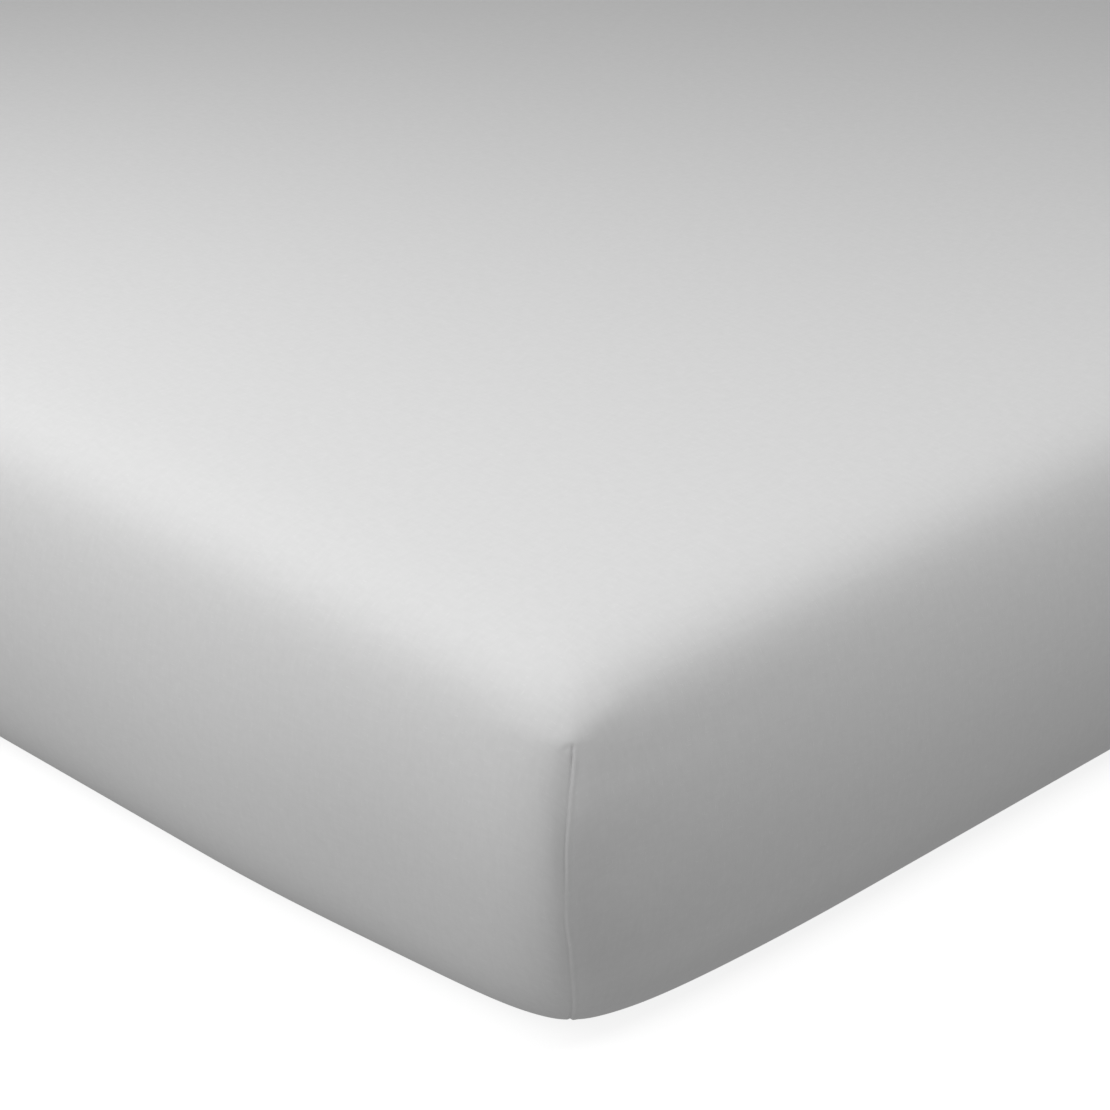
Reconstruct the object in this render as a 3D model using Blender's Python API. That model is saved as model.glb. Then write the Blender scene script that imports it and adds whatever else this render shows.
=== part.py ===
"""Fitted sheet stretched over a mattress that lies on the floor.

The sheet is one shell of cloth: a top panel, four sides with a sewn seam down each corner, and a tuck
that turns under the mattress and ends in an elasticated hem. The mattress fills it and is plain.
Both are lofted through rings that run round the mattress, one ring for each step of the section from
the flat of the top, over the edge, down the side, round the foot and under.

Frame: origin on the floor below the middle, X across, Y along, Z up. All sizes are in metres.
"""
import math
from collections import namedtuple

import bmesh
import bpy

# Outside sizes of the sheet on its mattress
WIDTH = 1.80
LENGTH = 2.00
DEPTH = 0.25

# Cloth, and the clearance between its inner face and the mattress
CLOTH = 0.002
CLEARANCE = 0.0005
EDGE_CLEARANCE = 0.002

# Softness of an edge: the distance ahead of the sharp edge over which most of its turn happens, and
# how much that changes on the way round to the side. It is another one next to a corner.
Edge = namedtuple("Edge", "soft change")
TOP_EDGE = Edge(0.0230, 0.0163)
TOP_EDGE_AT_CORNER = Edge(0.0302, -0.0160)
TOP_EDGE_REACH = 0.322
FOOT_EDGE = Edge(0.0434, -0.0120)
FOOT_EDGE_AT_CORNER = Edge(0.0200, -0.0120)
FOOT_EDGE_REACH = 0.012

# Softness of the upright corners: of the side, of the foot and of the hem. It tightens over the top
# by MITRE_FADE, and grows from SHOULDER_LEVEL down to FOOT_LEVEL, both in parts of the depth.
UPRIGHT_CORNER = 0.0228
FOOT_CORNER = 0.0408
HEM_CORNER = 0.110
MITRE_FADE = 0.425
SHOULDER_LEVEL = 0.725
FOOT_LEVEL = 0.03
TURN_LENGTH = 0.030

# The side bows out, most at BOW_LEVEL, and lies further in by these at half the depth above and below.
# It runs between two edges that both end at SIDE_TILT, and the foot meets the floor at CONTACT_ANGLE.
BOW_ABOVE = 0.0166
BOW_BELOW = 0.0084
BOW_LEVEL = 0.366
SIDE_TILT = math.radians(87.5)
CONTACT_ANGLE = math.radians(38.0)

# The elastic draws the lower part of each side inwards next to the corners
DRAW_TOP_LEVEL = 0.85
DRAW_RISE = 0.665
DRAW_END_REACH = 0.365
DRAW_SIDE_REACH = 0.296
DRAW_SKEW = 0.65

# Sewn corner seam: where it starts, and how far it wanders to and fro across the corner
SEAM_TOP = 0.214
SEAM_SHIFT = 0.0003
SEAM_WANDER = 0.0021
SEAM_PERIOD = 0.59
SEAM_FADE = 0.010

# Tuck under the mattress, and the casing that holds the elastic
TOP_FLAT = 0.200
HEM_START = 0.090
CASING_WIDTH = 0.012
CASING_HEIGHT = 0.0035
CASING_ROUND = 0.001

# Recess in the mattress's underside over the tuck, outside which it lies on the floor
RECESS_EASE = 0.006
RECESS_SLOPE = 0.020

Corner = namedtuple("Corner", "x y draw_end draw_side seam_phase")
CORNERS = (
    Corner(+1, -1, 0.0098, 0.0034, 0.81),
    Corner(+1, +1, 0.0085, 0.0050, 0.66),
    Corner(-1, +1, 0.0095, 0.0042, 0.74),
    Corner(-1, -1, 0.0080, 0.0055, 0.58),
)

# Places across the seam, from the end's side to the long side, and the cloth's relief there
SeamLine = namedtuple("SeamLine", "offset relief")
SEAM_LINES = (
    SeamLine(-0.0070, 0.0),
    SeamLine(-0.0032, -0.0001),
    SeamLine(-0.0014, -0.0007),
    SeamLine(+0.0014, +0.0009),
    SeamLine(+0.0038, +0.0003),
    SeamLine(+0.0075, 0.0),
)

# Steps along a quarter of a ring: parts of the straight run, and headings of the turn in degrees
STRAIGHT_PARTS = (1.0, 0.34, 0.25, 0.17, 0.10, 0.04)
HEADINGS_BEFORE_SEAM = (3, 8, 14, 20, 26)
HEADINGS_AFTER_SEAM = (65, 71, 77, 83, 87)

# Steps down the section: tilts of the cloth from level in degrees, and parts of the side between them
FACE_TILTS = (0.4, 1.5, 4, 9, 16, 24, 32, 41, 50, 59, 68, 76, 83)
FACE_FOOT_TILTS = (84, 77, 69, 60, 50)
LINING_TILTS = (0.4, 2, 8, 18, 30, 43, 56, 69, 80)
LINING_FOOT_TILTS = (80, 66, 52)
FACE_SIDE_PARTS = (0.0, 0.5, 1.0)
LINING_SIDE_PARTS = (0.0, 0.5, 1.0)

# A skin is one face of the section: its distance inside the outer face, and how much softer it turns
Skin = namedtuple("Skin", "inside softer")
THINNER_TURN = 1 - math.sqrt(0.5)
CLOTH_FACE = Skin(0.0, 0.0)
CLOTH_LINING = Skin(CLOTH, -CLOTH * THINNER_TURN / math.log(2))
MATTRESS_FACE = Skin(
    CLOTH + CLEARANCE,
    CLOTH_LINING.softer + (EDGE_CLEARANCE * math.sqrt(0.5) - CLEARANCE) / math.log(2),
)

Row = namedtuple("Row", "zone value height")
Column = namedtuple("Column", "zone value relief away")


def blend(part):
    """Smooth step from 0 to 1 as part goes from 0 to 1."""
    part = min(1.0, max(0.0, part))
    return part * part * (3 - 2 * part)


def edge_turn(edge, tilt):
    """How far a soft edge lies in from its first face, and down from its second, at a tilt."""
    steepness = math.tan(tilt)
    share = steepness / (1 + steepness)
    inwards = edge.soft * math.log(1 + 1 / steepness) + edge.change * (1 - share)
    down = (edge.soft + edge.change) * math.log(1 + steepness) - edge.change * share
    return inwards, down


def edge_at(away, edge, edge_at_corner, reach, skin):
    """The edge of a skin at a distance along the side from the corner."""
    near = math.exp(-away / reach)
    soft = edge.soft + (edge_at_corner.soft - edge.soft) * near
    return Edge(soft + skin.softer, edge.change + (edge_at_corner.change - edge.change) * near)


def share_at(heading):
    """Share of a corner's turn that is done where the ring runs at a heading in degrees."""
    return 1 / (1 + 1 / math.tan(math.radians(heading)))


def turn_away(share):
    """Rough distance along the side from the corner to a place in its turn."""
    return TURN_LENGTH * -math.log(min(share, 1 - share))


def quarter_columns():
    """Columns of a quarter ring, from the middle of the end to the middle of the long side."""
    spread = turn_away(share_at(HEADINGS_BEFORE_SEAM[0]))

    def straight(zone, half, parts):
        return [Column(zone, part, 0.0, spread + (half - spread) * part) for part in parts]

    def turning(headings):
        return [Column("turn", share_at(h), 0.0, turn_away(share_at(h))) for h in headings]

    seam = [Column("seam", line.offset, line.relief, turn_away(0.5)) for line in SEAM_LINES]
    return (
        straight("end", WIDTH / 2, STRAIGHT_PARTS)
        + turning(HEADINGS_BEFORE_SEAM)
        + seam
        + turning(HEADINGS_AFTER_SEAM)
        + straight("side", LENGTH / 2, reversed(STRAIGHT_PARTS))
    )


def section_rows(tilts, side_parts, foot_tilts, under):
    """Rows of a section from the flat of the top, down the side and under."""
    rows = [Row("flat", TOP_FLAT, 0.0)]
    rows += [Row("top", math.radians(tilt), 0.0) for tilt in tilts]
    rows += [Row("wall", part, 0.0) for part in side_parts]
    rows += [Row("foot", math.radians(tilt), 0.0) for tilt in foot_tilts]
    rows.append(Row("foot", CONTACT_ANGLE, 0.0))
    rows += [Row("under", inset, height) for inset, height in under]
    return rows


def row_place(row, skin, away):
    """Distance in from the skin's upright planes, and height, of a row at a column."""
    top_edge = edge_at(away, TOP_EDGE, TOP_EDGE_AT_CORNER, TOP_EDGE_REACH, skin)
    foot_edge = edge_at(away, FOOT_EDGE, FOOT_EDGE_AT_CORNER, FOOT_EDGE_REACH, skin)
    pressed = edge_turn(foot_edge, CONTACT_ANGLE)[1]
    if row.zone == "flat":
        return row.value, DEPTH - skin.inside
    if row.zone == "top":
        inset, drop = edge_turn(top_edge, row.value)
        return inset, DEPTH - skin.inside - drop
    if row.zone == "foot":
        inset, lift = edge_turn(foot_edge, row.value)
        return inset, skin.inside + lift - pressed
    if row.zone == "wall":
        top_inset, drop = edge_turn(top_edge, SIDE_TILT)
        foot_inset, lift = edge_turn(foot_edge, SIDE_TILT)
        upper = DEPTH - skin.inside - drop
        lower = skin.inside + lift - pressed
        inset = top_inset + (foot_inset - top_inset) * blend(row.value)
        inset -= (upper - lower) / math.tan(SIDE_TILT) * row.value * (1 - row.value)
        return inset, upper + (lower - upper) * row.value
    return row.value - skin.inside, row.height


def plan_softness(inset, height, skin, zone):
    """Softness of the ring's corner: tighter in over the top, rounder at the foot and the hem."""
    level = height / DEPTH
    if level > SHOULDER_LEVEL:
        return UPRIGHT_CORNER * math.exp(-inset / MITRE_FADE) + skin.softer
    lower = blend((SHOULDER_LEVEL - level) / (SHOULDER_LEVEL - FOOT_LEVEL))
    soft = UPRIGHT_CORNER + (FOOT_CORNER - UPRIGHT_CORNER) * lower
    if zone == "under":
        contact = edge_turn(FOOT_EDGE, CONTACT_ANGLE)[0]
        soft += (HEM_CORNER - FOOT_CORNER) * blend((inset - contact) / (HEM_START - contact))
    return soft + skin.softer


def draw_in(distance, reach):
    """Share of the elastic's pull at a distance from the corner, along a side."""
    if distance >= reach:
        return 0.0
    return math.sin(math.pi * (max(0.0, distance) / reach) ** DRAW_SKEW) ** 2


def seam_shift(level, corner):
    """How far the seam lies off the middle of the corner's turn at a level."""
    return SEAM_SHIFT + SEAM_WANDER * math.cos(2 * math.pi * (level - corner.seam_phase) / SEAM_PERIOD)


def seam_strength(height):
    """The seam's relief fades in below its top and out above the floor."""
    return blend((SEAM_TOP - height) / SEAM_FADE) * blend((height - CLOTH) / SEAM_FADE)


def ring_point(row, column, skin, corner):
    """World position of one point of a ring in one corner's quarter."""
    inset, height = row_place(row, skin, column.away)
    level = height / DEPTH
    soft = plan_softness(inset, height, skin, row.zone)
    bow = BOW_ABOVE if level > BOW_LEVEL else BOW_BELOW
    edge = skin.inside + inset + bow * (2 * (level - BOW_LEVEL)) ** 2

    if column.zone in ("end", "side"):
        half = WIDTH / 2 if column.zone == "end" else LENGTH / 2
        first = HEADINGS_BEFORE_SEAM[0] if column.zone == "end" else 90 - HEADINGS_AFTER_SEAM[-1]
        turn_start = -soft * math.log(share_at(first))
        along = turn_start + (half - edge - turn_start) * column.value
        across = -soft * math.log(1 - math.exp(-along / soft))
        run = (along, across) if column.zone == "end" else (across, along)
    else:
        share = column.value
        if column.zone == "seam":
            apex_run = 2 * math.sqrt(2) * max(soft, UPRIGHT_CORNER)
            share = 0.5 + (column.value + seam_shift(level, corner)) / apex_run
        run = (-soft * math.log(share), -soft * math.log(1 - share))

    from_side = edge + run[0]
    from_end = edge + run[1]
    pull = blend((DRAW_TOP_LEVEL - level) / DRAW_RISE)
    inwards_end = corner.draw_end * pull * draw_in(from_side, DRAW_END_REACH)
    inwards_side = corner.draw_side * pull * draw_in(from_end, DRAW_SIDE_REACH)
    if skin == CLOTH_FACE:
        proud = column.relief * seam_strength(height) * math.sqrt(0.5)
        inwards_end -= proud
        inwards_side -= proud
    x = WIDTH / 2 - from_side - inwards_side
    y = LENGTH / 2 - from_end - inwards_end
    return corner.x * x, corner.y * y, height


def ring(row, skin, columns):
    """One closed ring, anticlockwise from the middle of the end at -Y."""
    points = []
    for corner in CORNERS:
        order = columns if corner.x * corner.y < 0 else columns[::-1]
        points += [ring_point(row, column, skin, corner) for column in order[:-1]]
    return points


def split_quad(here, next_row, next_after, after, going_up):
    """Two triangles whose shared edge leans the same way on every skin, so that skins stay parallel."""
    if going_up:
        return [(here, next_row, after), (next_row, next_after, after)]
    return [(here, next_row, next_after), (here, next_after, after)]


def loft(name, rings, material):
    """Closed body through the rings, with a flat face across the first and the last."""
    mesh = bpy.data.meshes.new(name)
    count = len(rings[0])
    points = [point for one_ring in rings for point in one_ring]
    faces = [tuple(range(count))]
    for step in range(len(rings) - 1):
        for place in range(count):
            here = step * count + place
            after = step * count + (place + 1) % count
            going_up = points[here + count][2] > points[here][2]
            faces += split_quad(here, here + count, after + count, after, going_up)
    faces.append(tuple(range(len(points) - count, len(points))))
    mesh.from_pydata(points, [], faces)
    body = bmesh.new()
    body.from_mesh(mesh)
    bmesh.ops.recalc_face_normals(body, faces=body.faces)
    body.to_mesh(mesh)
    body.free()
    mesh.shade_smooth()
    mesh.materials.append(material)
    item = bpy.data.objects.new(name, mesh)
    bpy.context.scene.collection.objects.link(item)
    return item


def material(name, colour, roughness):
    """Principled material of one colour."""
    made = bpy.data.materials.new(name)
    made.use_nodes = True
    shader = made.node_tree.nodes["Principled BSDF"]
    shader.inputs["Base Color"].default_value = (*colour, 1.0)
    shader.inputs["Roughness"].default_value = roughness
    shader.inputs["Metallic"].default_value = 0.0
    return made


def fitted_sheet(columns):
    """The cloth: outer face, round the hem's casing, and back up the inner face."""
    contact = edge_turn(FOOT_EDGE, CONTACT_ANGLE)[0]
    middle = (contact + HEM_START) / 2
    hem_end = HEM_START + CASING_WIDTH
    face_under = [
        (middle, 0.0),
        (HEM_START, 0.0),
        (hem_end - CASING_ROUND, 0.0),
        (hem_end, CASING_ROUND),
        (hem_end, CASING_HEIGHT - CASING_ROUND),
        (hem_end - CASING_ROUND, CASING_HEIGHT),
        (HEM_START, CASING_HEIGHT),
        (HEM_START - CASING_ROUND, CLOTH),
    ]
    lining_under = [(middle, CLOTH)]
    face = section_rows(FACE_TILTS, FACE_SIDE_PARTS, FACE_FOOT_TILTS, face_under)
    lining = section_rows(LINING_TILTS, LINING_SIDE_PARTS, LINING_FOOT_TILTS, lining_under)
    rings = [ring(row, CLOTH_FACE, columns) for row in face]
    rings += [ring(row, CLOTH_LINING, columns) for row in reversed(lining)]
    return loft("fitted_sheet", rings, material("sheet_cloth", (0.60, 0.60, 0.61), 0.85))


def mattress(columns):
    """The mattress: the same form inside the cloth, recessed below over the tuck and its casing."""
    over_tuck = MATTRESS_FACE.inside
    over_casing = CASING_HEIGHT + CLEARANCE
    hem_end = HEM_START + CASING_WIDTH
    under = [
        (HEM_START - 2 * RECESS_EASE, over_tuck),
        (HEM_START - RECESS_EASE, over_casing),
        (hem_end + RECESS_EASE, over_casing),
        (hem_end + RECESS_EASE + RECESS_SLOPE, 0.0),
    ]
    rows = section_rows(LINING_TILTS, LINING_SIDE_PARTS, LINING_FOOT_TILTS, under)
    rings = [ring(row, MATTRESS_FACE, columns) for row in rows]
    return loft("mattress", rings, material("mattress_ticking", (0.82, 0.81, 0.78), 0.9))


for item in list(bpy.data.objects):
    bpy.data.objects.remove(item)

ring_columns = quarter_columns()
fitted_sheet(ring_columns)
mattress(ring_columns)
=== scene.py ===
"""Looks of a fitted sheet stretched over its mattress, on a plain pale floor.

Sizes are in metres, X across the bed, Y along it and Z up, from the floor below its middle.
"""
import math
from collections import namedtuple

import bpy
import numpy as np
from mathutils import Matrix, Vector


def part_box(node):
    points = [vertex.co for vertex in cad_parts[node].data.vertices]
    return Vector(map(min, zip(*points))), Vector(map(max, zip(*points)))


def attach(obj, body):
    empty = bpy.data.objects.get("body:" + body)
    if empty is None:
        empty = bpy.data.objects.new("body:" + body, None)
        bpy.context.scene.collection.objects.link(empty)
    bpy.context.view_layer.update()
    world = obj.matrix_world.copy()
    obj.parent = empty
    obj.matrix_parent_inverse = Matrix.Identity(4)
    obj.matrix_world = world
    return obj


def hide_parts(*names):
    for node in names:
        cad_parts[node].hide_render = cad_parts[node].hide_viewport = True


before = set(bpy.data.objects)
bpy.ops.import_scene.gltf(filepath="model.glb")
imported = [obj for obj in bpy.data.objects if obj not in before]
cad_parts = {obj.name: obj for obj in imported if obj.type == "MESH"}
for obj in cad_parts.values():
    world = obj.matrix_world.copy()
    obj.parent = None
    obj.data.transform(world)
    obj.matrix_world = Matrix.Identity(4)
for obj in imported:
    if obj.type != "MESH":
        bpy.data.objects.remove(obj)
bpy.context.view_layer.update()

# ------------------------------------------------------------------------------------- Mattress
# The mattress that the sheet fits: a sprung or foam block in a tight cover of off-white knitted
# ticking. Its soft edges and rounded corners give the sheet its whole form. Only the middle of its
# underside shows, inside the hem, and a shallow recess there makes room for the sheet's tuck.

WIDTH = 1.80
LENGTH = 2.00
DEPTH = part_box("fitted_sheet")[1].z

# Softness of an edge: the distance ahead of the sharp edge over which most of its turn happens, and
# how much that changes on the way round to the side. It is another one next to a corner.
Edge = namedtuple("Edge", "soft change")
TOP_EDGE = Edge(0.0230, 0.0163)
TOP_EDGE_AT_CORNER = Edge(0.0302, -0.0160)
TOP_EDGE_REACH = 0.322
FOOT_EDGE = Edge(0.0434, -0.0120)
FOOT_EDGE_AT_CORNER = Edge(0.0200, -0.0120)
FOOT_EDGE_REACH = 0.012

# How far from the corner a column counts as lying when the softness of its edges is worked out:
# TURN_LENGTH for each step of lean round the corner, rounded off over TURN_ROUND in the middle
TURN_LENGTH = 0.030
TURN_ROUND = 0.30

# Softness of the upright corners, from the flat of the top down to the hem. Over the top it fades
# with the distance in from the sides. Levels are shares of the depth, here and further down.
LEAST_CORNER = 0.003
UPRIGHT_CORNER = 0.0228
FOOT_CORNER = 0.0408
HEM_CORNER = 0.110
MITRE_FADE = 0.425
SHOULDER_LEVEL = 0.725
SHOULDER_BLEND = 0.08
FOOT_LEVEL = 0.03

# The side bows out, most at BOW_LEVEL, and lies further in by these at half the depth from there.
# The foot meets the floor at an angle. An edge's lean is the logarithm of the tangent of its tilt,
# so that even steps of lean are close to even steps round the edge.
BOW_ABOVE = 0.0166
BOW_BELOW = 0.0084
BOW_LEVEL = 0.366
CONTACT_LEAN = math.log(math.tan(math.radians(38.0)))
FLAT_LEAN = -5.0
SIDE_LEAN = 3.2
TURN_SPAN = 4.6

# The hem's elastic draws the lower part of each side inwards next to the corners. Round the corner
# the same pull moves the cloth lengthways, and that fades between one and two times DRAW_REST away.
DRAW_TOP_LEVEL = 0.85
DRAW_RISE = 0.665
DRAW_END_REACH = 0.365
DRAW_SIDE_REACH = 0.296
DRAW_SKEW = 0.65
DRAW_REST = 0.3

# How far the seam wanders from the middle of the corner's turn towards the long side, by height.
# Each corner has this path at its own stretch and sway.
SEAM_PATH = (
    (0.010, 0.0018), (0.024, 0.0038), (0.044, 0.0053), (0.064, 0.0051), (0.083, 0.0041),
    (0.101, 0.0017), (0.117, 0.0017), (0.133, 0.0026), (0.147, 0.0022), (0.159, 0.0027),
    (0.169, 0.0036), (0.182, 0.0046), (0.195, 0.0060), (0.205, 0.0058),
)
SEAM_EASES = (-0.005, -0.0017, 0.0017, 0.005)

# The long side lies flat, and a little further in, right beside the seam
FLAT_START = -0.016
FLAT_RISE = 0.045
FLAT_REACH = 0.12
FLAT_TOP_LEVEL = 0.92
FLAT_FOOT_LEVEL = 0.08
FLAT_FADE = 0.18

# The four corners, by their signs in X and Y: how far the elastic draws them in, how far the long
# side is flattened, how the seam's path is stretched and sways, and how much lower its relief is
Corner = namedtuple(
    "Corner", "x y draw_end draw_side flattened seam_stretch seam_sway seam_lower")
CORNERS = (
    Corner(+1, -1, 0.0098, 0.0034, 0.0050, 1.00, 1.0, 0.000),
    Corner(+1, +1, 0.0085, 0.0050, 0.0030, 0.86, 0.8, 0.005),
    Corner(-1, +1, 0.0095, 0.0042, 0.0045, 1.12, 0.9, -0.003),
    Corner(-1, -1, 0.0080, 0.0055, 0.0025, 0.93, 0.7, 0.008),
)

# Tuck under the mattress and the casing at its edge, as insets from the sharp sides
TUCK_START = 0.040
HEM_START = 0.090
CASING_WIDTH = 0.012

# The mattress's skin lies a distance inside the sheet's face, and turns its edges a little softer
Skin = namedtuple("Skin", "inside softer")
TICKING_SKIN = Skin(0.0034, 0.0004)
TUCK_ROOM = 0.0032
CASING_ROOM = 0.0060
CASING_EASE = 0.006
RECESS_SLOPE = 0.020

# The rings over the flats of the top and of the underside lie between these insets, and a grid over
# MIDDLE_SHARE of what is left fills the middle of each
TOP_INSETS = (0.50, 0.20)
UNDERSIDE_INSETS = (0.24, 0.30)
MIDDLE_SHARE = 0.7
MIDDLE_PARTS = 12

# Columns round a quarter: parts of the end's straight run, leans round the corner, and parts of the
# long side's straight run. The form keeps, for each of its points, how far across from the seam and
# how far up it lies, and its place on the flat cut by the threads of the end and of the long side.
Round = namedtuple("Round", "end turn side")
Form = namedtuple("Form", "points across up end_cut side_cut")


def blend(part):
    """Smooth step from 0 to 1 as part goes from 0 to 1."""
    part = np.clip(part, 0, 1)
    return part * part * (3 - 2 * part)


def soft_turn(softness, lean, change=0.0):
    """How far a soft edge lies in from its first face, and down from its second, at a lean."""
    share = 1 / (1 + np.exp(-lean))
    first = softness * np.log1p(np.exp(-lean)) + change * (1 - share)
    second = (softness + change) * np.log1p(np.exp(lean)) - change * share
    return first, second


def edge_at(away, edge, edge_at_corner, reach, skin):
    """Softness of an edge and its change, at a distance along the side from the corner."""
    near = np.exp(-away / reach)
    soft = edge.soft + (edge_at_corner.soft - edge.soft) * near + skin.softer
    return soft, edge.change + (edge_at_corner.change - edge.change) * near


def down_the_form(rows, skin, away):
    """Distance in from the sharp sides, and height, of each row at each column."""
    top_soft, top_change = edge_at(away, TOP_EDGE, TOP_EDGE_AT_CORNER, TOP_EDGE_REACH, skin)
    foot_soft, foot_change = edge_at(away, FOOT_EDGE, FOOT_EDGE_AT_CORNER, FOOT_EDGE_REACH, skin)
    pressed = soft_turn(foot_soft, CONTACT_LEAN, foot_change)[1]
    insets, heights = [], []
    for zone, places in rows:
        places = np.array(places)[..., None] * np.ones_like(away)
        if zone == "top":
            inset, high = places, np.full_like(places, DEPTH - skin.inside)
        elif zone == "edge":
            inset, drop = soft_turn(top_soft, places, top_change)
            high = DEPTH - skin.inside - drop
        elif zone == "side":
            top_inset, drop = soft_turn(top_soft, SIDE_LEAN, top_change)
            foot_inset, lift = soft_turn(foot_soft, SIDE_LEAN, foot_change)
            upper, lower = DEPTH - skin.inside - drop, skin.inside + lift - pressed
            high = upper * (1 - places) + lower * places
            inset = top_inset + (foot_inset - top_inset) * blend(places)
            inset = inset - math.exp(-SIDE_LEAN) * (upper - lower) * places * (1 - places)
        elif zone == "foot":
            inset, lift = soft_turn(foot_soft, places, foot_change)
            high = skin.inside + lift - pressed
        else:
            inset, high = places[:, 0], places[:, 1]
        insets.append(inset)
        heights.append(high)
    return np.vstack(insets), np.vstack(heights)


def corner_softness(inset, high, skin):
    """Softness of the ring's corner: tighter in over the top, rounder at the foot and the hem."""
    level = high / DEPTH
    lower = blend((SHOULDER_LEVEL - level) / (SHOULDER_LEVEL - FOOT_LEVEL))
    upper = blend((level - SHOULDER_LEVEL) / SHOULDER_BLEND)
    soft = UPRIGHT_CORNER + (FOOT_CORNER - UPRIGHT_CORNER) * lower
    soft = soft * np.exp(-inset / MITRE_FADE * upper)
    contact = soft_turn(FOOT_EDGE.soft, CONTACT_LEAN, FOOT_EDGE.change)[0]
    tucked = blend((inset - contact) / (HEM_START - contact)) * (1 - upper) * (level < FOOT_LEVEL)
    return np.maximum(soft + (HEM_CORNER - FOOT_CORNER) * tucked + skin.softer, LEAST_CORNER)


def drawn(distance, reach, aside):
    """Share of the elastic's pull at a distance from the corner, along a side and aside from it."""
    pull = np.sin(math.pi * np.clip(distance / reach, 0, 1) ** DRAW_SKEW) ** 2
    return pull * blend(2 - aside / DRAW_REST)


def seam_shift(high, corner):
    """How far the seam lies off the middle of the corner's turn at a height."""
    heights, shifts = zip(*SEAM_PATH)
    place = high * corner.seam_stretch
    shift = sum(np.interp(place + ease, heights, shifts) for ease in SEAM_EASES)
    return corner.seam_sway * shift / len(SEAM_EASES)


def quarter(rows, skin, around, corner):
    """One corner's quarter of the form, from the end's middle to the middle of the long side."""
    turned = TURN_LENGTH * np.log1p(np.exp(np.sqrt(around.turn ** 2 + TURN_ROUND ** 2)))
    away = np.concatenate([
        turned[0] + (WIDTH / 2 - turned[0]) * around.end,
        turned,
        turned[-1] + (LENGTH / 2 - turned[-1]) * around.side,
    ])
    inset, high = down_the_form(rows, skin, away)
    level = high / DEPTH
    soft = corner_softness(inset, high, skin)
    bow = np.where(level > BOW_LEVEL, BOW_ABOVE, BOW_BELOW)
    edge = skin.inside + inset + bow * (2 * (level - BOW_LEVEL)) ** 2

    end = slice(0, len(around.end))
    turn = slice(len(around.end), len(around.end) + len(around.turn))
    side = slice(turn.stop, None)
    shift = seam_shift(high, corner) / (np.maximum(soft, UPRIGHT_CORNER) * math.sqrt(0.5))
    lean = around.turn + shift[:, turn] * np.exp(-around.turn ** 2)
    from_side, from_end = np.empty_like(inset), np.empty_like(inset)
    from_side[:, turn], from_end[:, turn] = soft_turn(soft[:, turn], lean)
    for part, places, half, along, across in (
        (end, around.end, WIDTH / 2, from_side, from_end),
        (side, around.side, LENGTH / 2, from_end, from_side),
    ):
        start = soft_turn(soft[:, part], -abs(around.turn[0]))[0]
        along[:, part] = start + (half - edge[:, part] - start) * places
        across[:, part] = -soft[:, part] * np.log1p(-np.exp(-along[:, part] / soft[:, part]))
    from_side, from_end = from_side + edge, from_end + edge

    past = (from_end - from_side) * math.sqrt(0.5)
    flat = blend((past - FLAT_START) / FLAT_RISE) * np.exp(-np.maximum(past, 0) / FLAT_REACH)
    flat = flat * blend((FLAT_TOP_LEVEL - level) / FLAT_FADE)
    flat = flat * blend((level - FLAT_FOOT_LEVEL) / FLAT_FADE)
    pull = blend((DRAW_TOP_LEVEL - level) / DRAW_RISE)
    side_pull = pull * drawn(from_end, DRAW_SIDE_REACH, from_side)
    end_pull = pull * drawn(from_side, DRAW_END_REACH, from_end)
    x = WIDTH / 2 - from_side - corner.draw_side * side_pull - corner.flattened * flat
    y = LENGTH / 2 - from_end - corner.draw_end * end_pull

    def walked(*lines, axis):
        """Length walked along a grid's lines from their first point."""
        steps = np.sqrt(sum(np.diff(line, axis=axis) ** 2 for line in lines))
        first = np.zeros_like(np.take(x, [0], axis=axis))
        return np.concatenate([first, np.cumsum(steps, axis=axis)], axis=axis)

    along = walked(x, y, axis=1)
    x_cut, y_cut = x[0] + walked(x, high, axis=0), y[0] + walked(y, high, axis=0)
    seam = turn.start + len(around.turn) // 2
    return Form(
        np.stack([corner.x * x, corner.y * y, high], -1),
        along - along[:, seam:seam + 1],
        high + corner.seam_lower * np.ones_like(x),
        np.stack([corner.x * along, corner.y * y_cut], -1),
        np.stack([corner.x * x_cut, corner.y * (along[:, -1:] - along)], -1),
    )


def all_round(rows, skin, around):
    """The form as closed rings, anticlockwise from the middle of the end at -Y."""
    parts = []
    for corner in CORNERS:
        part = quarter(rows, skin, around, corner)
        backwards = corner.x * corner.y > 0
        parts.append([grid[:, ::-1][:, :-1] if backwards else grid[:, :-1] for grid in part])
    return Form(*(np.concatenate(grids, axis=1) for grids in zip(*parts)))


def ring_faces(rings, count, first=0):
    """Four-sided faces between neighbouring rings of the same count."""
    row, place = np.meshgrid(np.arange(rings - 1), np.arange(count), indexing="ij")
    here = first + row * count + place
    after = first + row * count + (place + 1) % count
    return np.stack([here, here + count, after + count, after], -1).reshape(-1, 4).tolist()


def join_rings(upper, lower, points):
    """Triangles between two closed rings of different counts, by their turn about the middle."""
    ways = []
    for ring in (upper, lower):
        x, y, _ = points[np.roll(ring, -1)].T
        turned = np.mod(np.arctan2(x, -y), 2 * math.pi)
        turned[-1] = 2 * math.pi
        ways.append(turned)
    faces = []
    i, j = 0, 0
    while i < len(upper) or j < len(lower):
        here, below = upper[i % len(upper)], lower[j % len(lower)]
        if j == len(lower) or (i < len(upper) and ways[0][i] <= ways[1][j]):
            i += 1
            faces.append([here, below, upper[i % len(upper)]])
        else:
            j += 1
            faces.append([here, below, lower[j % len(lower)]])
    return faces


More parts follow.
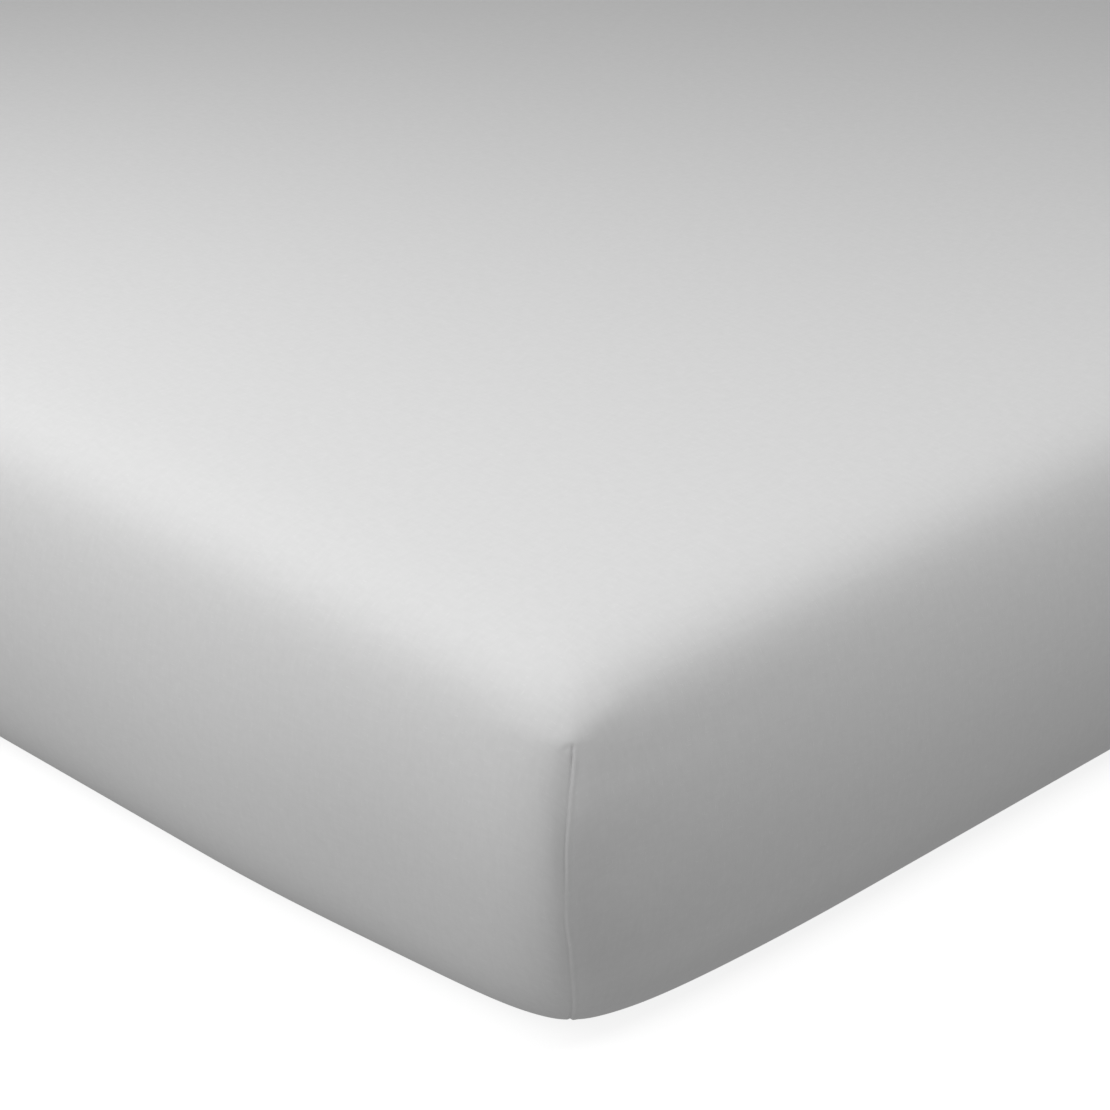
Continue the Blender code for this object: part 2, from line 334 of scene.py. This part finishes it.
def flat_middle(points, faces, ring, closing):
    """Fills a level ring, which opens or closes a form, with a grid joined to it all round."""
    outline = points[ring]
    reach = np.ptp(outline[:, :2], axis=0) / 2 * MIDDLE_SHARE
    across, along = (np.linspace(-half, half, MIDDLE_PARTS + 1) for half in reach)
    grid = np.array([(x, y, outline[0, 2]) for y in along for x in across])
    places = len(points) + np.arange(len(grid)).reshape(MIDDLE_PARTS + 1, MIDDLE_PARTS + 1)
    border = np.concatenate(
        [places[0, :-1], places[:-1, -1], places[-1, :0:-1], places[:0:-1, 0]])
    border = np.roll(border, -(MIDDLE_PARTS // 2)).tolist()
    points = np.concatenate([points, grid])
    fill = np.stack(
        [places[:-1, :-1], places[:-1, 1:], places[1:, 1:], places[1:, :-1]], -1).reshape(-1, 4)
    if closing:
        faces += fill[:, ::-1].tolist() + join_rings(ring, border, points)
    else:
        faces += fill.tolist() + join_rings(border, ring, points)
    return points


def straight_run(parts, crowding):
    """Parts of a straight run from its middle on, which crowd towards the corner."""
    return (1 - np.linspace(0, 1, parts + 1)[:-1]) ** crowding


def make_piece(name, points, faces, finish):
    """A smooth mesh piece that rides with the bed and wears one finish."""
    mesh = bpy.data.meshes.new(name)
    mesh.from_pydata(points.tolist(), [], faces)
    mesh.shade_smooth()
    mesh.materials.append(finish)
    piece = bpy.data.objects.new(name, mesh)
    bpy.context.scene.collection.objects.link(piece)
    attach(piece, "root")
    return piece


def new_finish(name, colour, roughness, sheen):
    """A finish with one shader, of an even colour, roughness and sheen until nodes say more."""
    finish = bpy.data.materials.new(name)
    finish.use_nodes = True
    shader = finish.node_tree.nodes["Principled BSDF"]
    shader.inputs["Base Color"].default_value = (*colour, 1)
    shader.inputs["Roughness"].default_value = roughness
    shader.inputs["Sheen Weight"].default_value = sheen
    return finish, finish.node_tree, shader


def node(tree, kind, choices, inputs):
    """Adds a shader node, its choices made and its inputs set or joined, and gives its outputs."""
    made = tree.nodes.new("ShaderNode" + kind)
    for name, value in choices.items():
        setattr(made, name, value)
    for name, value in inputs.items():
        if isinstance(value, bpy.types.NodeSocket):
            tree.links.new(value, made.inputs[name])
        else:
            made.inputs[name].default_value = value
    return made.outputs


# The ticking: its colours and clouds, and how close together, how uneven and how deep its ribs and
# courses of stitches are
TICKING_COLOUR = (0.82, 0.81, 0.78)
TICKING_DARK = (0.78, 0.77, 0.74, 1)
TICKING_PALE = (0.86, 0.85, 0.82, 1)
TICKING_CLOUDS = 22.0
RIBS = 180.0
COURSES = 240.0
STITCH_WANDER = 0.6
STITCH_DEPTH = 0.0004


def ticking():
    """Off-white knitted ticking: fine ribs of stitches and a faint cloudiness."""
    finish, tree, shader = new_finish(
        "knitted_ticking", TICKING_COLOUR, roughness=0.9, sheen=0.1)
    place = node(tree, "TexCoord", {}, {})["Object"]
    ribs = node(tree, "TexWave", {"bands_direction": "X"},
                {"Vector": place, "Scale": RIBS, "Distortion": STITCH_WANDER})["Fac"]
    courses = node(tree, "TexWave", {"bands_direction": "Y"},
                   {"Vector": place, "Scale": COURSES, "Distortion": STITCH_WANDER})["Fac"]
    stitches = node(tree, "Math", {"operation": "MULTIPLY"}, {0: ribs, 1: courses})["Value"]
    cloud = node(tree, "TexNoise", {},
                 {"Vector": place, "Scale": TICKING_CLOUDS, "Detail": 4.0})["Fac"]
    tone = node(tree, "Mix", {"data_type": "RGBA"},
                {"Factor": cloud, 6: TICKING_DARK, 7: TICKING_PALE})[2]
    tree.links.new(tone, shader.inputs["Base Color"])
    relief = node(tree, "Bump", {},
                  {"Height": stitches, "Strength": 0.5, "Distance": STITCH_DEPTH})
    tree.links.new(relief["Normal"], shader.inputs["Normal"])
    return finish


mattress_rows = (
    ("top", np.linspace(*TOP_INSETS, 4)),
    ("edge", np.linspace(FLAT_LEAN, SIDE_LEAN, 18)),
    ("side", np.linspace(0, 1, 6)[1:-1]),
    ("foot", np.linspace(SIDE_LEAN, CONTACT_LEAN, 10)),
    ("under", (
        (TUCK_START, TUCK_ROOM),
        (HEM_START - 2 * CASING_EASE, TUCK_ROOM),
        (HEM_START - CASING_EASE, CASING_ROOM),
        (HEM_START + CASING_WIDTH + CASING_EASE, CASING_ROOM),
        (HEM_START + CASING_WIDTH + CASING_EASE + RECESS_SLOPE, 0.0),
        *((inset, 0.0) for inset in UNDERSIDE_INSETS),
    )),
)
run = straight_run(14, crowding=1.3)
plain_round = Round(run, np.linspace(-TURN_SPAN, TURN_SPAN, 25), run[::-1])
mattress_form = all_round(mattress_rows, TICKING_SKIN, plain_round)
rings, count = mattress_form.points.shape[:2]
mattress_points = mattress_form.points.reshape(-1, 3)
mattress_faces = ring_faces(rings, count)
last = (rings - 1) * count
for start, closing in ((0, False), (last, True)):
    ring = list(range(start, start + count))
    mattress_points = flat_middle(mattress_points, mattress_faces, ring, closing)
mattress = make_piece("mattress_block", mattress_points, mattress_faces, ticking())
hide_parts("mattress")

# ---------------------------------------------------------------------------------------- Sheet
# The fitted sheet: silver-grey plain-woven cotton, cut in one piece with a square out of each
# corner. A seam closes each corner, the cloth is stretched smooth over the mattress, turned under
# it, and gathered there by elastic that runs round inside the hem.

# The cloth's thickness, and its two faces. The inner one turns each edge sharper than the outer
# one, by this share of the thickness.
CLOTH = 0.0016
INNER_SHARPER = 0.42
CLOTH_FACE = Skin(0.0, 0.0)
CLOTH_LINING = Skin(CLOTH, -INNER_SHARPER * CLOTH)

# The seam lies in a soft valley, with a narrow crease and the low ridge of its pressed turnings
# beside it. These are their places across the seam and widths, and their depths and heights up it.
VALLEY_ACROSS, VALLEY_WIDTH = 0.0010, 0.0070
CREASE_ACROSS, CREASE_WIDTH = -0.0004, 0.0009
RIDGE_ACROSS, RIDGE_WIDTH = 0.0018, 0.0014
SeamPlace = namedtuple("SeamPlace", "up valley crease ridge")
SEAM_PLACES = (
    SeamPlace(0.000, 0.00030, 0.00070, 0.00030),
    SeamPlace(0.016, 0.00040, 0.00060, 0.00026),
    SeamPlace(0.030, 0.00040, 0.00045, 0.00026),
    SeamPlace(0.043, 0.00050, 0.00024, 0.00015),
    SeamPlace(0.052, 0.00055, 0.00022, 0.00024),
    SeamPlace(0.060, 0.00060, 0.00016, 0.00013),
    SeamPlace(0.072, 0.00055, 0.00026, 0.00024),
    SeamPlace(0.085, 0.00050, 0.00036, 0.00027),
    SeamPlace(0.100, 0.00045, 0.00026, 0.00026),
    SeamPlace(0.109, 0.00040, 0.00005, 0.00012),
    SeamPlace(0.126, 0.00045, 0.00008, 0.00010),
    SeamPlace(0.135, 0.00055, 0.00034, 0.00034),
    SeamPlace(0.160, 0.00075, 0.00034, 0.00042),
    SeamPlace(0.180, 0.00100, 0.00025, 0.00040),
    SeamPlace(0.192, 0.00095, 0.00050, 0.00045),
    SeamPlace(0.202, 0.00065, 0.00090, 0.00045),
    SeamPlace(0.208, 0.00040, 0.00080, 0.00020),
    SeamPlace(0.211, 0.00000, 0.00000, 0.00000),
)

# Soft troughs and ridges, each lying between two places given as distances in from the long
# side and from the end of the first corner, and heights
Fold = namedtuple("Fold", "start end width rise")
FOLDS = (
    Fold((0.0325, 0.0375, 0.2115), (0.0290, 0.0680, 0.2215), 0.0090, 0.00065),
    Fold((0.0340, 0.0340, 0.2105), (0.0800, 0.0210, 0.2110), 0.0090, 0.00040),
    Fold((0.0120, 0.0340, 0.1370), (0.0080, 0.0620, 0.1330), 0.0360, -0.00190),
    Fold((0.0321, 0.0365, 0.2095), (0.0348, 0.0295, 0.2045), 0.0014, -0.00020),
)

# The weave: the pitch, relief and wander of the threads, the thicker lengths in them, called slubs,
# and faint clouds of tone. Slubs and clouds each have a length and a width, a part of the noise
# over which they come up, and a share by which they change the grey.
PERCALE_GREY = 0.60
THREAD_PITCH = 0.0003
THREAD_RELIEF = 0.000006
THREAD_WANDER = 0.7
SLUB = (0.0050, 0.0013)
WEFT_SLUBS = (0.64, 0.74)
WARP_SLUBS = (0.65, 0.75)
SLUB_RELIEF = 0.00003
SLUB_TONE = 0.045
CLOUD = (0.012, 0.0035)
CLOUDS = (0.3, 0.7)
CLOUD_TONE = 0.022
WAVE_STEP = 2 * math.pi / 20

# Columns bunch towards the seam, and rows lie closest between FINE_LEANS, where the form is finest
BUNCHING = 4.0
FINE_LEANS = (0.2, 1.8)
EDGE_LEANS = np.concatenate([
    np.linspace(FLAT_LEAN, FINE_LEANS[0], 24)[:-1],
    np.linspace(*FINE_LEANS, 28)[:-1],
    np.linspace(FINE_LEANS[1], SIDE_LEAN, 8),
])

# The outer face stops, and the inner one starts, a little short of the hem's rings
FACE_END = 0.034
LINING_START = 0.036

# The hem: its places as insets, heights, and how much the elastic gathers them
HemPlace = namedtuple("HemPlace", "inset height gathered")
HEM_PLACES = (
    HemPlace(0.0400, 0.0000, 0.0),
    HemPlace(0.0520, 0.0000, 0.25),
    HemPlace(0.0640, 0.0000, 0.5),
    HemPlace(0.0750, 0.0000, 0.8),
    HemPlace(0.0840, 0.0000, 1.0),
    HemPlace(0.0885, 0.0007, 1.0),
    HemPlace(0.0925, 0.0000, 0.8),
    HemPlace(0.0975, 0.0000, 0.8),
    HemPlace(0.1010, 0.0010, 0.8),
    HemPlace(0.1020, 0.0022, 0.8),
    HemPlace(0.1005, 0.0036, 0.8),
    HemPlace(0.0950, 0.0042, 0.8),
    HemPlace(0.0890, 0.0030, 0.9),
    HemPlace(0.0840, 0.0016, 1.0),
    HemPlace(0.0640, 0.0016, 0.5),
    HemPlace(0.0420, 0.0016, 0.0),
)
CASING_PLACE = 6
GATHER_PITCH = 0.015
GATHER_LIFT = 0.0009
GATHER_SWAY = 0.0014

# Columns of a quarter's hem: parts of the end, of the corner's turn up to HEM_TURN, and of the side
HEM_PARTS = Round(145, 170, 175)
HEM_TURN = 3.0

# Slow waves make the gathers uneven: how many go round, how strong they are and where they start
Wave = namedtuple("Wave", "count strength start")
RIPPLE_WAVES = (Wave(23, 2.2, 0.0), Wave(61, 1.4, 1.0))
SWAY_WAVE = Wave(29, 1.7, 0.0)
FULLNESS_WAVES = (Wave(37, 0.25, 0.6), Wave(11, 1.0, 0.0))


def outward(points):
    """Unit normals of a grid of rings."""
    down = np.gradient(points, axis=0)
    around = np.roll(points, -1, axis=1) - np.roll(points, 1, axis=1)
    normals = np.cross(down, around)
    return normals / np.maximum(np.linalg.norm(normals, axis=-1, keepdims=True), 1e-12)


def seam_relief(form):
    """Rise and fall of the cloth along and across each corner's seam."""
    ups, *depths = zip(*SEAM_PLACES)
    valley, crease, ridge = (np.interp(form.up, ups, depth) for depth in depths)
    return (
        ridge * np.exp(-((form.across - RIDGE_ACROSS) / RIDGE_WIDTH) ** 2)
        - crease * np.exp(-((form.across - CREASE_ACROSS) / CREASE_WIDTH) ** 2)
        - valley * np.exp(-((form.across - VALLEY_ACROSS) / VALLEY_WIDTH) ** 2)
    )


def fold_relief(points):
    """The listed folds, each fading out round the line between its two ends."""
    corner = np.array([WIDTH / 2, -LENGTH / 2, 0.0])
    rise = np.zeros(points.shape[:2])
    for fold in FOLDS:
        start, end = (corner + np.array(place) * (-1, 1, 1) for place in (fold.start, fold.end))
        line = end - start
        part = np.clip((points - start) @ line / (line @ line), 0, 1)
        gap = np.linalg.norm(points - start - part[..., None] * line, axis=-1)
        rise += fold.rise * np.exp(-(gap / fold.width) ** 2)
    return rise


def swing(wave, turn):
    """A slow wave's height round the hem."""
    return wave.strength * np.sin(wave.count * turn + wave.start)


def gathered_hem(around):
    """Rings of the tuck and the hem's casing, rippled and drawn up by the elastic."""
    rows = (("under", [(place.inset, place.height) for place in HEM_PLACES]),)
    form = all_round(rows, CLOTH_FACE, around)
    casing = form.points[CASING_PLACE, :, :2]
    ahead, behind = np.roll(casing, -1, axis=0), np.roll(casing, 1, axis=0)
    steps = np.linalg.norm(ahead - casing, axis=1)
    turn = 2 * math.pi * (np.cumsum(steps) - steps) / steps.sum()
    gathers = round(steps.sum() / GATHER_PITCH)
    ripple = 1 + np.sin(gathers * turn + sum(swing(wave, turn) for wave in RIPPLE_WAVES))
    sway = np.sin(gathers // 2 * turn + swing(SWAY_WAVE, turn))
    full, slow = (swing(wave, turn) for wave in FULLNESS_WAVES)
    fullness = 1 - FULLNESS_WAVES[0].strength + full * slow
    inwards = (ahead - behind)[:, ::-1] * (-1, 1)
    inwards /= np.linalg.norm(inwards, axis=1, keepdims=True)
    gathered = np.array([place.gathered for place in HEM_PLACES])[:, None] * fullness
    form.points[..., 2] += GATHER_LIFT * gathered * ripple
    form.points[..., :2] += GATHER_SWAY * (gathered * sway)[..., None] * inwards
    return form


def lay_out_cut(piece, across, end_cut, side_cut):
    """Gives each face its place on the flat cut, by the threads of the panel that it belongs to."""
    mesh = piece.data
    vertex = np.zeros(len(mesh.loops), np.int32)
    mesh.loops.foreach_get("vertex_index", vertex)
    starts = np.zeros(len(mesh.polygons), np.int32)
    mesh.polygons.foreach_get("loop_start", starts)
    corners = np.diff(np.append(starts, len(vertex)))
    on_side = np.repeat(np.add.reduceat(across[vertex], starts) > 0, corners)
    places = np.where(on_side[:, None], side_cut[vertex], end_cut[vertex])
    cut = mesh.uv_layers.new(name="cut")
    cut.uv.foreach_set("vector", places.astype(np.float32).ravel())


def percale():
    """Silver-grey percale: a fine plain weave, thin slubs along both threads, and a soft bloom."""
    finish, tree, shader = new_finish(
        "silver_percale", (PERCALE_GREY,) * 3, roughness=0.85, sheen=0.05)
    shader.inputs["Specular IOR Level"].default_value = 0.25
    cut = node(tree, "UVMap", {"uv_map": "cut"}, {})["UV"]

    def patches(along, across, least, most):
        """Patches of these measures in metres, from 0 to 1 as the noise goes from least to most."""
        stretched = node(tree, "VectorMath", {"operation": "MULTIPLY"},
                         {0: cut, 1: (1 / along, 1 / across, 1)})["Vector"]
        cloud = node(tree, "TexNoise", {},
                     {"Vector": stretched, "Scale": 1.0, "Detail": 1.5})["Fac"]
        return node(tree, "MapRange", {},
                    {"Value": cloud, "From Min": least, "From Max": most})["Result"]

    def combined(operation, first, second):
        """Two values, or two outputs of nodes, put together into one."""
        return node(tree, "Math", {"operation": operation}, {0: first, 1: second})["Value"]

    crossings = []
    for direction in "XY":
        wave = node(tree, "TexWave", {"bands_direction": direction}, {
            "Vector": cut, "Scale": WAVE_STEP / (2 * THREAD_PITCH),
            "Distortion": THREAD_WANDER, "Detail": 1.0})["Fac"]
        crossings.append(combined("SUBTRACT", wave, 0.5))
    weave = combined("MULTIPLY", crossings[0], crossings[1])
    slubs = combined("MAXIMUM", patches(*SLUB, *WEFT_SLUBS), patches(*SLUB[::-1], *WARP_SLUBS))
    relief = combined("ADD", combined("MULTIPLY", weave, 4 * THREAD_RELIEF),
                      combined("MULTIPLY", slubs, SLUB_RELIEF))
    bump = node(tree, "Bump", {}, {"Height": relief, "Distance": 1.0, "Strength": 1.0})
    tree.links.new(bump["Normal"], shader.inputs["Normal"])

    clouds = combined("ADD", patches(*CLOUD, *CLOUDS), patches(*CLOUD[::-1], *CLOUDS))
    change = combined("ADD", combined("MULTIPLY", clouds, CLOUD_TONE),
                      combined("MULTIPLY", slubs, SLUB_TONE))
    tone = combined("MULTIPLY", combined("ADD", change, 1 - CLOUD_TONE), PERCALE_GREY)
    tree.links.new(tone, shader.inputs["Base Color"])
    return finish


run = straight_run(22, crowding=1.4)
bunched = np.sinh(BUNCHING * np.linspace(-1, 1, 89)) / math.sinh(BUNCHING)
sheet_round = Round(run, TURN_SPAN * bunched, run[::-1])
hem_round = Round(
    np.linspace(1, 0, HEM_PARTS.end + 1)[:-1],
    np.linspace(-HEM_TURN, HEM_TURN, HEM_PARTS.turn + 1),
    np.linspace(0, 1, HEM_PARTS.side + 1)[1:],
)
face_rows = (
    ("top", np.linspace(*TOP_INSETS, 7)),
    ("edge", EDGE_LEANS),
    ("side", np.linspace(0, 1, 14)[1:-1]),
    ("foot", np.linspace(SIDE_LEAN, CONTACT_LEAN, 28)),
    ("under", ((FACE_END, 0.0),)),
)
lining_rows = (
    ("under", ((LINING_START, CLOTH),)),
    ("foot", np.linspace(CONTACT_LEAN, SIDE_LEAN, 8)),
    ("side", np.linspace(1, 0, 5)[1:-1]),
    ("edge", np.linspace(SIDE_LEAN, FLAT_LEAN, 14)),
    ("top", np.linspace(*TOP_INSETS[::-1], 3)),
)
face = all_round(face_rows, CLOTH_FACE, sheet_round)
face_rise = (seam_relief(face) + fold_relief(face.points))[..., None]
face = face._replace(points=face.points + outward(face.points) * face_rise)
hem = gathered_hem(hem_round)
lining = all_round(lining_rows, CLOTH_LINING, plain_round)
lining_rise = fold_relief(lining.points)[..., None]
lining = lining._replace(points=lining.points - outward(lining.points) * lining_rise)

blocks = (face, hem, lining)
sheet_points = np.concatenate([block.points.reshape(-1, 3) for block in blocks])
sheet_faces = []
outlines = []
first = 0
for block in blocks:
    rings, count = block.points.shape[:2]
    sheet_faces += ring_faces(rings, count, first)
    last = first + (rings - 1) * count
    outlines += [list(range(first, first + count)), list(range(last, last + count))]
    first += rings * count
sheet_faces += join_rings(outlines[1], outlines[2], sheet_points)
sheet_faces += join_rings(outlines[3], outlines[4], sheet_points)
sheet_points = flat_middle(sheet_points, sheet_faces, outlines[0], closing=False)
sheet_points = flat_middle(sheet_points, sheet_faces, outlines[5], closing=True)
sheet = make_piece("stretched_sheet", sheet_points, sheet_faces, percale())
middle = sheet_points[first:, :2]
lay_out_cut(
    sheet,
    np.concatenate([block.across.ravel() for block in blocks] + [middle[:, 0]]),
    np.concatenate([block.end_cut.reshape(-1, 2) for block in blocks] + [middle]),
    np.concatenate([block.side_cut.reshape(-1, 2) for block in blocks] + [middle]),
)
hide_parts("fitted_sheet")

# ---------------------------------------------------------------------------------------- Floor
# A plain pale studio floor, wide enough to fill the view from any side. It glows a little, as a
# floor of white acrylic does over lamps, and throws no light back onto the bed.

FLOOR_REACH = 40.0
FLOOR_HEIGHT = -0.0003
FLOOR_GREY = (0.28, 0.28, 0.28)
FLOOR_DARK = (0.27, 0.27, 0.27, 1)
FLOOR_PALE = (0.29, 0.29, 0.29, 1)
FLOOR_CLOUDS = 1.5
FLOOR_GLOW = 0.80


def pale_acrylic():
    """White acrylic: a very faint cloudiness, and its own glow."""
    finish, tree, shader = new_finish("pale_acrylic", FLOOR_GREY, roughness=0.7, sheen=0.0)
    place = node(tree, "TexCoord", {}, {})["Object"]
    cloud = node(tree, "TexNoise", {},
                 {"Vector": place, "Scale": FLOOR_CLOUDS, "Detail": 3.0})["Fac"]
    tone = node(tree, "Mix", {"data_type": "RGBA"},
                {"Factor": cloud, 6: FLOOR_DARK, 7: FLOOR_PALE})[2]
    tree.links.new(tone, shader.inputs["Base Color"])
    shader.inputs["Emission Color"].default_value = (1, 1, 1, 1)
    shader.inputs["Emission Strength"].default_value = FLOOR_GLOW
    return finish


floor_ways = ((-1, -1), (1, -1), (1, 1), (-1, 1))
floor_points = [(x * FLOOR_REACH, y * FLOOR_REACH, FLOOR_HEIGHT) for x, y in floor_ways]
floor_mesh = bpy.data.meshes.new("pale_floor")
floor_mesh.from_pydata(floor_points, [], [(0, 1, 2, 3)])
floor_mesh.materials.append(pale_acrylic())
floor = bpy.data.objects.new("pale_floor", floor_mesh)
floor.visible_diffuse = False
floor.visible_glossy = False
bpy.context.scene.collection.objects.link(floor)

# --------------------------------------------------------------------------------------- Camera
# A long lens on a stand about one and a half metres out from the near corner, looking down on it so
# that both sides run away at the same slant, as in the photograph.

# Frame and lens in millimetres, directions in degrees, and the place in metres out from the top's
# near corner
FRAME_WIDTH = 36.0
LENS = 94.11
AZIMUTH = 45.222
PITCH = 24.473
CAMERA_OUT = (0.9836, -0.9829, 0.7324)

camera_data = bpy.data.cameras.new("camera")
camera_data.sensor_width = FRAME_WIDTH
camera_data.lens = LENS
camera = bpy.data.objects.new("camera", camera_data)
bpy.context.scene.collection.objects.link(camera)
near_corner = (WIDTH / 2, -LENGTH / 2, DEPTH)
camera.location = [near + out for near, out in zip(near_corner, CAMERA_OUT)]
azimuth, pitch = math.radians(AZIMUTH), math.radians(PITCH)
look = Vector((
    -math.sin(azimuth) * math.cos(pitch),
    math.cos(azimuth) * math.cos(pitch),
    -math.sin(pitch),
))
camera.rotation_mode = "QUATERNION"
camera.rotation_quaternion = look.to_track_quat("-Z", "Y")
bpy.context.scene.camera = camera

# --------------------------------------------------------------------------------------- Lights
# Even light from a pale studio all round. A long low lamp hangs over the left of the near corner,
# and a broad one stands high on its right. A weak one, low beyond the far corner, lifts the sides
# there.

STUDIO_LIGHT = 0.407

# Each lamp's place and aim in metres from the foot of the near corner, to the camera's right and
# away from the camera, then its size and power
Lamp = namedtuple("Lamp", "right away high aim_right aim_away aim_high long wide watts")
LAMPS = (
    Lamp(-1.338, -0.791, 1.410, -0.604, -0.942, 0.346, 3.71, 0.40, 32.0),
    Lamp(+1.457, 0.460, 2.747, 0.767, -0.993, 1.871, 1.61, 1.11, 51.5),
    Lamp(+0.700, 4.600, 0.420, 0.000, 2.400, 0.100, 1.60, 0.40, 12.0),
)

corner_foot = Vector((WIDTH / 2, -LENGTH / 2, 0))
to_right = Vector((math.cos(azimuth), math.sin(azimuth), 0))
to_away = Vector((-math.sin(azimuth), math.cos(azimuth), 0))
for number, lamp in enumerate(LAMPS, 1):
    lamp_data = bpy.data.lights.new(f"soft_lamp_{number}", "AREA")
    lamp_data.shape = "RECTANGLE"
    lamp_data.size, lamp_data.size_y = lamp.long, lamp.wide
    lamp_data.energy = lamp.watts
    soft_lamp = bpy.data.objects.new(f"soft_lamp_{number}", lamp_data)
    bpy.context.scene.collection.objects.link(soft_lamp)
    place, aim = (
        corner_foot + right * to_right + away * to_away + Vector((0, 0, high))
        for right, away, high in (lamp[:3], lamp[3:6]))
    soft_lamp.location = place
    soft_lamp.rotation_mode = "QUATERNION"
    soft_lamp.rotation_quaternion = (aim - place).to_track_quat("-Z", "Y")
    soft_lamp.visible_camera = False

world = bpy.data.worlds.new("studio")
world.use_nodes = True
studio = world.node_tree.nodes["Background"]
studio.inputs["Color"].default_value = (1, 1, 1, 1)
studio.inputs["Strength"].default_value = STUDIO_LIGHT
bpy.context.scene.world = world
bpy.context.scene.view_settings.view_transform = "Standard"
